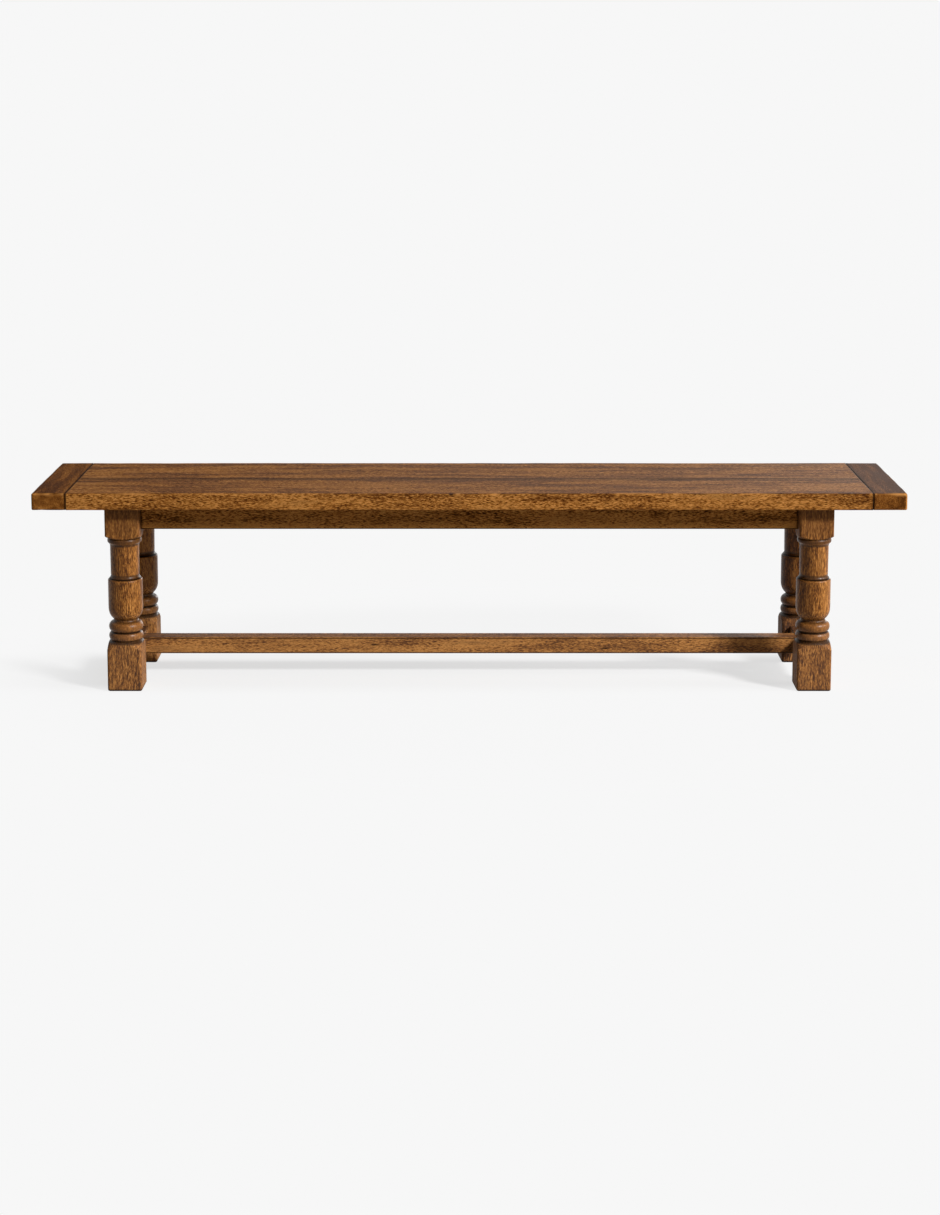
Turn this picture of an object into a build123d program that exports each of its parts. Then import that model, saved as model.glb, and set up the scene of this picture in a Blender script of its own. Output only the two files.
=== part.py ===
from build123d import *

import os
from math import sqrt

os.makedirs("parts", exist_ok=True)

# Wooden bench: a plank seat with breadboard ends on four turned legs and an H stretcher.
# Millimetres, +X along the seat, -Y to the front, +Z up, origin on the floor under the middle.

# Seat
SEAT_LENGTH = 1930.0
SEAT_DEPTH = 381.0
SEAT_HEIGHT = 457.0
SEAT_THICKNESS = 38.0
SEAT_ARRIS = 2.5
SEAT_CORNER = 5.0
FRONT_PLANK_WIDTH = 175.0
SEAM_BEVEL = 2.0
BREADBOARD_WIDTH = 75.0
BREADBOARD_BEVEL = 1.2
TONGUE_LENGTH = 22.0
TONGUE_THICKNESS = 12.0
TONGUE_SETBACK = 22.0
SPLINE_WIDTH = 24.0
SPLINE_THICKNESS = 8.0
SPLINE_SETBACK = 30.0
PEG_DIAMETER = 8.0
PEG_COVER = 7.0
PEG_EDGE = 80.0
PEG_FROM_SEAM = 32.0
PEG_SLOT_PLAY = 6.0

# Leg, as turned between its two square blocks: a cut is a depth below the blank's flat face
LEG_SQUARE = 77.0
LEG_ARRIS = 5.5
FOOT_EASE = 4.5
FOOT_POMMEL_EASE = 6.0
TOP_POMMEL_EASE = 2.0
END_OVERHANG = 155.0
SIDE_OVERHANG = 30.0
FOOT_BLOCK_HEIGHT = 112.0
FOOT_GROOVE_CUT = 4.0
FOOT_POMMEL_DROP = 25.0
FOOT_POMMEL_BULGE = 1.5
LOWER_BEAD_HEIGHT = 19.5
LOWER_BEAD_BULGE = 4.7
BEAD_VALLEY_CUT = 6.0
UPPER_BEAD_HEIGHT = 22.3
UPPER_BEAD_BULGE = 6.0
NECK_CUT = 11.7
NECK_COVE_HEIGHT = 5.5
NECK_COVE_DEPTH = 5.0
NECK_COVE_SAG = 1.5
URN_CUT = 0.1
URN_ROUND_HEIGHT = 28.5
URN_SIDE_HEIGHT = 60.2
URN_TOE = 6.5
URN_FULLNESS = 16.0
LIP_HEIGHT = 4.6
LIP_BULGE = 1.1
LIP_CREASE = 2.2
FLARE_STEP = 3.0
FLARE_RISE = 1.2
FLARE_HEIGHT = 9.0
FLARE_SAG = 1.4
COLUMN_BASE_CUT = 6.7
COLUMN_TOP_CUT = 6.2
RING_COVE_HEIGHT = 9.2
RING_COVE_DEPTH = 4.8
RING_COVE_SAG = 1.4
RING_HEIGHT = 10.0
RING_BULGE = 1.6
TOP_BLOCK_HEIGHT = 74.0
TOP_GROOVE_CUT = 2.7
TOP_POMMEL_RISE = 12.5
TOP_POMMEL_BULGE = 1.0

# Aprons and cross rail
APRON_HEIGHT = 54.0
APRON_THICKNESS = 22.0
APRON_EASE = 1.5
APRON_TENON_LENGTH = 20.0
APRON_TENON_THICKNESS = 10.0
APRON_TENON_HEIGHT = 36.0
CROSS_RAIL_HEIGHT = 42.0
CROSS_RAIL_THICKNESS = 32.0
CROSS_TENON_LENGTH = 10.0
CROSS_TENON_THICKNESS = 12.0
CROSS_TENON_HEIGHT = 26.0

# Stretchers
STRETCHER_HEIGHT = 38.0
STRETCHER_WIDTH = 40.0
STRETCHER_FLOOR_GAP = 50.0
STRETCHER_EASE = 2.0
STRETCHER_TENON_LENGTH = 28.0
STRETCHER_TENON_THICKNESS = 13.0
STRETCHER_TENON_HEIGHT = 24.0

# Corner blocks and their hardware
BLOCK_THICKNESS = 22.0
BLOCK_HEIGHT = 44.0
BLOCK_TOP_GAP = 4.0
BLOCK_LEG_GAP = 1.5
BLOCK_SCREW_EDGE = 11.0
BLOCK_SCREW_SPACING = 26.0
BLOCK_SCREW_SEAT = 11.0
LEG_FLAT_DEPTH = 8.0
BOLT_DIAMETER = 8.0
BOLT_IN_LEG = 30.0
BOLT_PAST_NUT = 4.0
BOLT_POINT = 6.0
WASHER_DIAMETER = 20.0
WASHER_THICKNESS = 1.8
NUT_WIDTH = 13.0
NUT_HEIGHT = 6.5

# Screws
WOOD_SCREW_DIAMETER = 4.5
WOOD_SCREW_BITE = 16.0
WOOD_SCREW_HEAD_DIAMETER = 9.0
WOOD_SCREW_HEAD_HEIGHT = 3.2
RAIL_SCREW_DIAMETER = 5.0
RAIL_SCREW_BITE = 20.0
RAIL_SCREW_HEAD_DIAMETER = 10.0
RAIL_SCREW_HEAD_HEIGHT = 3.5
RAIL_SCREW_Y = 62.0
RAIL_COUNTERBORE_DEPTH = 16.0
SCREW_POINT = 5.0
SCREW_TIP_RADIUS = 0.6

# Seat fasteners
FASTENER_DIAMETER = 18.0
FASTENER_THICKNESS = 3.0
FASTENER_PITCH = 17.0
FASTENER_INSET = 7.0
FASTENER_FROM_RAIL = 200.0
FASTENER_FROM_LEG = 193.0
FASTENER_END_Y = 10.0
FASTENER_SCREW_DIAMETER = 4.2
FASTENER_SCREW_LENGTH = 17.0
FASTENER_SCREW_HEAD_DIAMETER = 8.0
COUNTERSINK_ANGLE = 90.0

# Clearances
TENON_CLEARANCE = 0.15
TENON_END_GAP = 1.0
GROOVE_END_GAP = 0.5
HOLE_CLEARANCE = 0.1
BOLT_CLEARANCE = 0.4
COUNTERBORE_CLEARANCE = 0.6

# Places worked out from the sizes above
HALF_LENGTH = SEAT_LENGTH / 2
HALF_DEPTH = SEAT_DEPTH / 2
SEAT_UNDERSIDE = SEAT_HEIGHT - SEAT_THICKNESS
SEAT_MIDDLE = SEAT_UNDERSIDE + SEAT_THICKNESS / 2
PLANK_END = HALF_LENGTH - BREADBOARD_WIDTH
SEAM_Y = FRONT_PLANK_WIDTH - HALF_DEPTH
TONGUE_EDGE = HALF_DEPTH - TONGUE_SETBACK
PEG_X = PLANK_END + TONGUE_LENGTH / 2
PEG_LENGTH = SEAT_THICKNESS - PEG_COVER
PEG_OUTER_Y = HALF_DEPTH - PEG_EDGE
PEG_MIDDLE_Y = SEAM_Y + PEG_FROM_SEAM
LEG_HALF = LEG_SQUARE / 2
LEG_X = HALF_LENGTH - END_OVERHANG - LEG_HALF
LEG_Y = HALF_DEPTH - SIDE_OVERHANG - LEG_HALF
LEG_INNER_X = LEG_X - LEG_HALF
LEG_INNER_Y = LEG_Y - LEG_HALF
APRON_BOTTOM = SEAT_UNDERSIDE - APRON_HEIGHT
APRON_MIDDLE = SEAT_UNDERSIDE - APRON_HEIGHT / 2
APRON_INNER_X = LEG_X - APRON_THICKNESS / 2
APRON_INNER_Y = LEG_Y - APRON_THICKNESS / 2
RAIL_BOTTOM = SEAT_UNDERSIDE - CROSS_RAIL_HEIGHT
RAIL_MIDDLE = SEAT_UNDERSIDE - CROSS_RAIL_HEIGHT / 2
RAIL_SCREW_SEAT = RAIL_BOTTOM + RAIL_COUNTERBORE_DEPTH
RAIL_SCREW_LENGTH = SEAT_UNDERSIDE - RAIL_SCREW_SEAT + RAIL_SCREW_BITE
STRETCHER_MIDDLE = STRETCHER_FLOOR_GAP + STRETCHER_HEIGHT / 2
STRETCHER_INNER_X = LEG_X - STRETCHER_WIDTH / 2
WOOD_SCREW_LENGTH = BLOCK_SCREW_SEAT + WOOD_SCREW_BITE
FASTENER_OUTER_X = LEG_INNER_X - FASTENER_FROM_LEG
BLOCK_TOP = SEAT_UNDERSIDE - BLOCK_TOP_GAP
BLOCK_MIDDLE = BLOCK_TOP - BLOCK_HEIGHT / 2

# Distances from a leg's axis along the diagonal towards the middle of the bench
LEG_CORNER = LEG_HALF * sqrt(2)
LEG_FLAT = LEG_CORNER - LEG_FLAT_DEPTH
BLOCK_OUTER = LEG_CORNER + BLOCK_LEG_GAP
BLOCK_INNER = BLOCK_OUTER + BLOCK_THICKNESS
NUT_OUTER = BLOCK_INNER + WASHER_THICKNESS + NUT_HEIGHT

BASE = (Align.CENTER, Align.CENTER, Align.MIN)
HANG = (Align.CENTER, Align.CENTER, Align.MAX)
CORNERS = {
    "front_left": (-1, -1),
    "front_right": (1, -1),
    "rear_left": (-1, 1),
    "rear_right": (1, 1),
}


def save(piece, label):
    """Names a finished piece and writes its STEP file."""
    piece.part.label = label
    export_step(piece.part, f"parts/{label}.step")


def diagonal_plane(side, face, distance):
    """A plane square to a leg's diagonal, at a distance from its axis, facing the middle of the bench."""
    step = distance / sqrt(2)
    origin = (side * (LEG_X - step), face * (LEG_Y - step), BLOCK_MIDDLE)
    return Plane(origin, x_dir=(0, 0, 1), z_dir=(-side, -face, 0))


def fastener_planes():
    """One plane per seat fastener, at its apron hole on the seat's underside, X towards its seat hole."""
    planes = []
    for face in (-1, 1):
        for x in (-FASTENER_OUTER_X, -FASTENER_FROM_RAIL, FASTENER_FROM_RAIL, FASTENER_OUTER_X):
            origin = (x, face * (APRON_INNER_Y + FASTENER_INSET), SEAT_UNDERSIDE)
            planes.append(Plane(origin, x_dir=(0, -face, 0)))
    for side in (-1, 1):
        origin = (side * (APRON_INNER_X + FASTENER_INSET), FASTENER_END_Y, SEAT_UNDERSIDE)
        planes.append(Plane(origin, x_dir=(-side, 0, 0)))
    return planes


def block_screw_planes():
    """One plane per corner block screw, on its head's seat, with Z out of the block."""
    planes = []
    foot_x = LEG_X + LEG_Y - BLOCK_OUTER * sqrt(2) - APRON_INNER_Y - BLOCK_SCREW_EDGE
    foot_y = LEG_X + LEG_Y - BLOCK_OUTER * sqrt(2) - APRON_INNER_X - BLOCK_SCREW_EDGE
    for side, face in CORNERS.values():
        for step in (-BLOCK_SCREW_SPACING / 2, BLOCK_SCREW_SPACING / 2):
            z = BLOCK_MIDDLE + step
            in_long_apron = (side * foot_x, face * (APRON_INNER_Y - BLOCK_SCREW_SEAT), z)
            in_end_apron = (side * (APRON_INNER_X - BLOCK_SCREW_SEAT), face * foot_y, z)
            planes.append(Plane(in_long_apron, x_dir=(1, 0, 0), z_dir=(0, -face, 0)))
            planes.append(Plane(in_end_apron, x_dir=(0, 1, 0), z_dir=(-side, 0, 0)))
    return planes


FASTENERS = fastener_planes()
SEAT_SCREWS = [
    Plane(p.from_local_coords((FASTENER_PITCH, 0, -FASTENER_THICKNESS)), z_dir=(0, 0, -1))
    for p in FASTENERS
]
BLOCK_SCREWS = block_screw_planes()
RAIL_SCREWS = [
    Plane((0, y, RAIL_SCREW_SEAT), z_dir=(0, 0, -1)) for y in (-RAIL_SCREW_Y, RAIL_SCREW_Y)
]


# Seat planks: end tongues for the breadboards, a groove for the spline, pilot holes below
def make_plank(label, front_y, back_y, outer):
    middle_y = (front_y + back_y) / 2
    inner_end = -1 if outer == 0 else 0
    tongue_front = max(front_y, -TONGUE_EDGE)
    tongue_back = min(back_y, TONGUE_EDGE)
    with BuildPart() as plank:
        with BuildSketch(Plane.YZ) as section:
            with Locations((middle_y, SEAT_MIDDLE)):
                Rectangle(back_y - front_y, SEAT_THICKNESS)
            columns = section.vertices().group_by(Axis.X)
            fillet(columns[outer], SEAT_ARRIS)
            columns = section.vertices().group_by(Axis.X)
            chamfer(columns[inner_end], SEAM_BEVEL)
        extrude(amount=PLANK_END, both=True)
        ends = plank.faces().filter_by(Axis.X)
        chamfer(ends.edges(), BREADBOARD_BEVEL)
        tongue_y = (tongue_front + tongue_back) / 2
        tongue_x = PLANK_END + TONGUE_LENGTH / 2
        with Locations((-tongue_x, tongue_y, SEAT_MIDDLE), (tongue_x, tongue_y, SEAT_MIDDLE)):
            Box(TONGUE_LENGTH, tongue_back - tongue_front, TONGUE_THICKNESS)
        with Locations((0, SEAM_Y, SEAT_MIDDLE)):
            Box(
                2 * (PLANK_END - SPLINE_SETBACK + GROOVE_END_GAP),
                SPLINE_WIDTH + 2 * TENON_CLEARANCE,
                SPLINE_THICKNESS + 2 * TENON_CLEARANCE,
                mode=Mode.SUBTRACT,
            )
        for side in (-1, 1):
            for peg_y in (-PEG_OUTER_Y, PEG_MIDDLE_Y, PEG_OUTER_Y):
                if front_y < peg_y < back_y:
                    play = 0 if peg_y == PEG_MIDDLE_Y else PEG_SLOT_PLAY
                    peg_plane = Plane((side * PEG_X, peg_y, SEAT_UNDERSIDE), x_dir=(0, 1, 0))
                    with BuildSketch(peg_plane):
                        Circle(PEG_DIAMETER / 2 + HOLE_CLEARANCE)
                        if play:
                            SlotCenterToCenter(play, PEG_DIAMETER + 2 * HOLE_CLEARANCE)
                    extrude(amount=SEAT_THICKNESS, mode=Mode.SUBTRACT)
        for screw in SEAT_SCREWS:
            if front_y < screw.origin.Y < back_y:
                with Locations(screw):
                    Cylinder(
                        FASTENER_SCREW_DIAMETER / 2 + HOLE_CLEARANCE,
                        FASTENER_SCREW_LENGTH + TENON_END_GAP,
                        align=HANG,
                        mode=Mode.SUBTRACT,
                    )
        for screw in RAIL_SCREWS:
            if front_y < screw.origin.Y < back_y:
                with Locations(screw):
                    Cylinder(
                        RAIL_SCREW_DIAMETER / 2 + HOLE_CLEARANCE,
                        RAIL_SCREW_LENGTH + TENON_END_GAP,
                        align=HANG,
                        mode=Mode.SUBTRACT,
                    )
    save(plank, label)


make_plank("front_seat_plank", -HALF_DEPTH, SEAM_Y, outer=0)
make_plank("rear_seat_plank", SEAM_Y, HALF_DEPTH, outer=-1)

# Spline: the loose tongue along the plank seam
with BuildPart() as spline:
    with BuildSketch(Plane.YZ):
        with Locations((SEAM_Y, SEAT_MIDDLE)):
            Rectangle(SPLINE_WIDTH, SPLINE_THICKNESS)
    extrude(amount=PLANK_END - SPLINE_SETBACK, both=True)
save(spline, "plank_spline")


# Breadboard ends: a blind groove takes the planks' tongues, pegged from below
def make_breadboard(label, side):
    inner_x = side * PLANK_END
    with BuildPart() as board:
        with BuildSketch(Plane.XY.offset(SEAT_UNDERSIDE)) as outline:
            with Locations((side * (HALF_LENGTH - BREADBOARD_WIDTH / 2), 0)):
                Rectangle(BREADBOARD_WIDTH, SEAT_DEPTH)
            fillet(outline.vertices().group_by(Axis.X)[0 if side < 0 else -1], SEAT_CORNER)
        extrude(amount=SEAT_THICKNESS)
        flats = board.faces().filter_by(Axis.Z).edges()
        rim = [edge for edge in flats if abs(edge.center().X - inner_x) > SEAT_ARRIS]
        fillet(rim, SEAT_ARRIS)
        joint_face = board.faces().filter_by(Axis.X).sort_by(Axis.X)[0 if side > 0 else -1]
        chamfer(joint_face.edges(), BREADBOARD_BEVEL)
        groove_depth = TONGUE_LENGTH + TENON_END_GAP
        with Locations((inner_x + side * groove_depth / 2, 0, SEAT_MIDDLE)):
            Box(
                groove_depth,
                2 * (TONGUE_EDGE + GROOVE_END_GAP),
                TONGUE_THICKNESS + 2 * TENON_CLEARANCE,
                mode=Mode.SUBTRACT,
            )
        pegs = [
            (side * PEG_X, y, SEAT_UNDERSIDE) for y in (-PEG_OUTER_Y, PEG_MIDDLE_Y, PEG_OUTER_Y)
        ]
        with Locations(*pegs):
            Cylinder(
                PEG_DIAMETER / 2 + HOLE_CLEARANCE,
                PEG_LENGTH + TENON_END_GAP,
                align=BASE,
                mode=Mode.SUBTRACT,
            )
    save(board, label)


make_breadboard("left_breadboard_end", -1)
make_breadboard("right_breadboard_end", 1)

with BuildPart() as pegs:
    peg_places = [
        (side * PEG_X, y, SEAT_UNDERSIDE)
        for side in (-1, 1)
        for y in (-PEG_OUTER_Y, PEG_MIDDLE_Y, PEG_OUTER_Y)
    ]
    with Locations(*peg_places):
        Cylinder(PEG_DIAMETER / 2, PEG_LENGTH, align=BASE)
save(pegs, "breadboard_pegs")


# Legs: a turned profile inside a square blank, so the blocks end in round shoulders
# The half profile runs from the floor up, then from the leg's top down to the column
BLANK_RADIUS = LEG_SQUARE * 0.75
FOOT_GROOVE_RADIUS = LEG_HALF - FOOT_GROOVE_CUT
BEAD_VALLEY_RADIUS = LEG_HALF - BEAD_VALLEY_CUT
NECK_RADIUS = LEG_HALF - NECK_CUT
URN_RADIUS = LEG_HALF - URN_CUT
COLUMN_BASE_RADIUS = LEG_HALF - COLUMN_BASE_CUT
COLUMN_TOP_RADIUS = LEG_HALF - COLUMN_TOP_CUT
TOP_GROOVE_RADIUS = LEG_HALF - TOP_GROOVE_CUT
GROOVE_Z = FOOT_BLOCK_HEIGHT
VALLEY_Z = GROOVE_Z + LOWER_BEAD_HEIGHT
CREASE_Z = VALLEY_Z + UPPER_BEAD_HEIGHT
NECK_Z = CREASE_Z + NECK_COVE_HEIGHT
URN_Z = NECK_Z + URN_ROUND_HEIGHT
LIP_Z = URN_Z + URN_SIDE_HEIGHT
LIP_TOP_Z = LIP_Z + LIP_HEIGHT
FLARE_Z = LIP_TOP_Z + FLARE_RISE
COLUMN_Z = FLARE_Z + FLARE_HEIGHT
TOP_GROOVE_Z = SEAT_UNDERSIDE - TOP_BLOCK_HEIGHT
RING_Z = TOP_GROOVE_Z - RING_HEIGHT
RING_COVE_Z = RING_Z - RING_COVE_HEIGHT
FOOT_POMMEL_Z = GROOVE_Z - FOOT_POMMEL_DROP
TOP_POMMEL_Z = TOP_GROOVE_Z + TOP_POMMEL_RISE
CREASE_RADIUS = NECK_RADIUS + NECK_COVE_DEPTH
LIP_CREASE_RADIUS = COLUMN_BASE_RADIUS + LIP_CREASE
FLARE_RADIUS = COLUMN_BASE_RADIUS + FLARE_STEP
RING_RADIUS = COLUMN_TOP_RADIUS + RING_COVE_DEPTH

with BuildSketch() as leg_profile:
    with BuildLine():
        Polyline((0, SEAT_UNDERSIDE), (0, 0), (BLANK_RADIUS, 0), (BLANK_RADIUS, FOOT_POMMEL_Z))
        SagittaArc((BLANK_RADIUS, FOOT_POMMEL_Z), (FOOT_GROOVE_RADIUS, GROOVE_Z), -FOOT_POMMEL_BULGE)
        SagittaArc((FOOT_GROOVE_RADIUS, GROOVE_Z), (BEAD_VALLEY_RADIUS, VALLEY_Z), -LOWER_BEAD_BULGE)
        SagittaArc((BEAD_VALLEY_RADIUS, VALLEY_Z), (CREASE_RADIUS, CREASE_Z), -UPPER_BEAD_BULGE)
        SagittaArc((CREASE_RADIUS, CREASE_Z), (NECK_RADIUS, NECK_Z), NECK_COVE_SAG)
        Bezier(
            (NECK_RADIUS, NECK_Z),
            (NECK_RADIUS + URN_TOE, NECK_Z + URN_TOE),
            (URN_RADIUS, URN_Z - URN_FULLNESS),
            (URN_RADIUS, URN_Z),
        )
        Line((URN_RADIUS, URN_Z), (URN_RADIUS, LIP_Z))
        SagittaArc((URN_RADIUS, LIP_Z), (LIP_CREASE_RADIUS, LIP_TOP_Z), -LIP_BULGE)
        Line((LIP_CREASE_RADIUS, LIP_TOP_Z), (FLARE_RADIUS, FLARE_Z))
        SagittaArc((FLARE_RADIUS, FLARE_Z), (COLUMN_BASE_RADIUS, COLUMN_Z), FLARE_SAG)
        Line((COLUMN_BASE_RADIUS, COLUMN_Z), (COLUMN_TOP_RADIUS, RING_COVE_Z))
        SagittaArc((COLUMN_TOP_RADIUS, RING_COVE_Z), (RING_RADIUS, RING_Z), RING_COVE_SAG)
        SagittaArc((RING_RADIUS, RING_Z), (TOP_GROOVE_RADIUS, TOP_GROOVE_Z), -RING_BULGE)
        SagittaArc((TOP_GROOVE_RADIUS, TOP_GROOVE_Z), (BLANK_RADIUS, TOP_POMMEL_Z), -TOP_POMMEL_BULGE)
        Polyline((BLANK_RADIUS, TOP_POMMEL_Z), (BLANK_RADIUS, SEAT_UNDERSIDE), (0, SEAT_UNDERSIDE))
    make_face()


def make_leg(label, side, face):
    x = side * LEG_X
    y = face * LEG_Y
    with BuildPart() as leg:
        with BuildSketch(Plane((x, y, 0), x_dir=(1, 0, 0), z_dir=(0, -1, 0))):
            add(leg_profile.sketch)
        revolve(axis=Axis((x, y, 0), (0, 0, 1)))
        with BuildSketch(Plane((x, y, 0))):
            RectangleRounded(LEG_SQUARE, LEG_SQUARE, LEG_ARRIS)
        extrude(amount=SEAT_UNDERSIDE, mode=Mode.INTERSECT)
        shoulders = leg.edges().filter_by(GeomType.BSPLINE)
        fillet([edge for edge in shoulders if edge.center().Z < GROOVE_Z], FOOT_POMMEL_EASE)
        fillet([edge for edge in shoulders if edge.center().Z > TOP_GROOVE_Z], TOP_POMMEL_EASE)
        fillet(leg.faces().sort_by(Axis.Z)[0].edges(), FOOT_EASE)

        # Mortises for the long apron, the end apron and the side stretcher
        apron_depth = APRON_TENON_LENGTH + TENON_END_GAP
        apron_mortise = APRON_TENON_THICKNESS + 2 * TENON_CLEARANCE
        apron_mortise_height = APRON_TENON_HEIGHT + 2 * TENON_CLEARANCE
        with Locations((side * (LEG_INNER_X + apron_depth / 2), y, APRON_MIDDLE)):
            Box(apron_depth, apron_mortise, apron_mortise_height, mode=Mode.SUBTRACT)
        with Locations((x, face * (LEG_INNER_Y + apron_depth / 2), APRON_MIDDLE)):
            Box(apron_mortise, apron_depth, apron_mortise_height, mode=Mode.SUBTRACT)
        stretcher_depth = STRETCHER_TENON_LENGTH + TENON_END_GAP
        with Locations((x, face * (LEG_INNER_Y + stretcher_depth / 2), STRETCHER_MIDDLE)):
            Box(
                STRETCHER_TENON_THICKNESS + 2 * TENON_CLEARANCE,
                stretcher_depth,
                STRETCHER_TENON_HEIGHT + 2 * TENON_CLEARANCE,
                mode=Mode.SUBTRACT,
            )

        # Flat on the inner corner, and the pilot hole for the hanger bolt
        with BuildSketch(Plane((side * LEG_INNER_X, face * LEG_INNER_Y, APRON_BOTTOM))):
            Rectangle(2 * LEG_FLAT_DEPTH, 2 * LEG_FLAT_DEPTH, rotation=45)
        extrude(amount=APRON_HEIGHT, mode=Mode.SUBTRACT)
        with Locations(diagonal_plane(side, face, LEG_FLAT)):
            Cylinder(
                BOLT_DIAMETER / 2 + HOLE_CLEARANCE,
                BOLT_IN_LEG + TENON_END_GAP,
                align=HANG,
                mode=Mode.SUBTRACT,
            )
    save(leg, label)


for corner, (side, face) in CORNERS.items():
    make_leg(f"{corner}_leg", side, face)


# Aprons: tenoned into the legs, with let-in seat fasteners and holes for the block screws
def cut_apron_details(apron):
    """Cuts fastener recesses and screw holes where they fall inside the apron being built."""
    box = apron.part.bounding_box()
    recesses = [
        plane
        for plane in FASTENERS
        if box.min.X < plane.origin.X < box.max.X and box.min.Y < plane.origin.Y < box.max.Y
    ]
    seat_lobes = [Plane(plane.from_local_coords((FASTENER_PITCH, 0, 0))) for plane in recesses]
    with Locations(*recesses, *seat_lobes):
        Cylinder(
            FASTENER_DIAMETER / 2 + TENON_CLEARANCE,
            FASTENER_THICKNESS,
            align=HANG,
            mode=Mode.SUBTRACT,
        )
    with Locations(*recesses):
        Cylinder(
            FASTENER_SCREW_DIAMETER / 2 + HOLE_CLEARANCE,
            FASTENER_SCREW_LENGTH + TENON_END_GAP,
            align=HANG,
            mode=Mode.SUBTRACT,
        )
    with Locations(*BLOCK_SCREWS):
        Cylinder(
            WOOD_SCREW_DIAMETER / 2 + HOLE_CLEARANCE,
            WOOD_SCREW_LENGTH + TENON_END_GAP,
            align=HANG,
            mode=Mode.SUBTRACT,
        )


def make_long_apron(label, face):
    y = face * LEG_Y
    tenon_x = LEG_INNER_X + APRON_TENON_LENGTH / 2
    rail_depth = CROSS_TENON_LENGTH + TENON_END_GAP
    with BuildPart() as apron:
        with BuildSketch(Plane.YZ) as section:
            with Locations((y, APRON_MIDDLE)):
                Rectangle(APRON_THICKNESS, APRON_HEIGHT)
            fillet(section.vertices().group_by(Axis.Y)[0], APRON_EASE)
        extrude(amount=LEG_INNER_X, both=True)
        with Locations((-tenon_x, y, APRON_MIDDLE), (tenon_x, y, APRON_MIDDLE)):
            Box(APRON_TENON_LENGTH, APRON_TENON_THICKNESS, APRON_TENON_HEIGHT)
        with Locations((0, face * (APRON_INNER_Y + rail_depth / 2), RAIL_MIDDLE)):
            Box(
                CROSS_TENON_THICKNESS + 2 * TENON_CLEARANCE,
                rail_depth,
                CROSS_TENON_HEIGHT + 2 * TENON_CLEARANCE,
                mode=Mode.SUBTRACT,
            )
        cut_apron_details(apron)
    save(apron, label)


def make_end_apron(label, side):
    x = side * LEG_X
    tenon_y = LEG_INNER_Y + APRON_TENON_LENGTH / 2
    with BuildPart() as apron:
        with BuildSketch(Plane.XZ) as section:
            with Locations((x, APRON_MIDDLE)):
                Rectangle(APRON_THICKNESS, APRON_HEIGHT)
            fillet(section.vertices().group_by(Axis.Y)[0], APRON_EASE)
        extrude(amount=LEG_INNER_Y, both=True)
        with Locations((x, -tenon_y, APRON_MIDDLE), (x, tenon_y, APRON_MIDDLE)):
            Box(APRON_TENON_THICKNESS, APRON_TENON_LENGTH, APRON_TENON_HEIGHT)
        cut_apron_details(apron)
    save(apron, label)


make_long_apron("front_apron", -1)
make_long_apron("rear_apron", 1)
make_end_apron("left_end_apron", -1)
make_end_apron("right_end_apron", 1)

# Centre cross rail between the long aprons, screwed up into the planks
with BuildPart() as cross_rail:
    with BuildSketch(Plane.XZ) as rail_section:
        with Locations((0, RAIL_MIDDLE)):
            Rectangle(CROSS_RAIL_THICKNESS, CROSS_RAIL_HEIGHT)
        fillet(rail_section.vertices().group_by(Axis.Y)[0], APRON_EASE)
    extrude(amount=APRON_INNER_Y, both=True)
    rail_tenon_y = APRON_INNER_Y + CROSS_TENON_LENGTH / 2
    with Locations((0, -rail_tenon_y, RAIL_MIDDLE), (0, rail_tenon_y, RAIL_MIDDLE)):
        Box(CROSS_TENON_THICKNESS, CROSS_TENON_LENGTH, CROSS_TENON_HEIGHT)
    with Locations(*[plane.offset(RAIL_COUNTERBORE_DEPTH) for plane in RAIL_SCREWS]):
        CounterBoreHole(
            radius=RAIL_SCREW_DIAMETER / 2 + HOLE_CLEARANCE,
            counter_bore_radius=RAIL_SCREW_HEAD_DIAMETER / 2 + COUNTERBORE_CLEARANCE,
            counter_bore_depth=RAIL_COUNTERBORE_DEPTH,
            depth=CROSS_RAIL_HEIGHT,
        )
save(cross_rail, "centre_cross_rail")


# Stretchers: side stretchers between the foot blocks, one long stretcher between their middles
def make_side_stretcher(label, side):
    x = side * LEG_X
    tenon_y = LEG_INNER_Y + STRETCHER_TENON_LENGTH / 2
    mortise_depth = STRETCHER_TENON_LENGTH + TENON_END_GAP
    with BuildPart() as stretcher:
        with BuildSketch(Plane.XZ):
            with Locations((x, STRETCHER_MIDDLE)):
                RectangleRounded(STRETCHER_WIDTH, STRETCHER_HEIGHT, STRETCHER_EASE)
        extrude(amount=LEG_INNER_Y, both=True)
        with Locations((x, -tenon_y, STRETCHER_MIDDLE), (x, tenon_y, STRETCHER_MIDDLE)):
            Box(STRETCHER_TENON_THICKNESS, STRETCHER_TENON_LENGTH, STRETCHER_TENON_HEIGHT)
        with Locations((side * (STRETCHER_INNER_X + mortise_depth / 2), 0, STRETCHER_MIDDLE)):
            Box(
                mortise_depth,
                STRETCHER_TENON_THICKNESS + 2 * TENON_CLEARANCE,
                STRETCHER_TENON_HEIGHT + 2 * TENON_CLEARANCE,
                mode=Mode.SUBTRACT,
            )
    save(stretcher, label)


make_side_stretcher("left_side_stretcher", -1)
make_side_stretcher("right_side_stretcher", 1)

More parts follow.
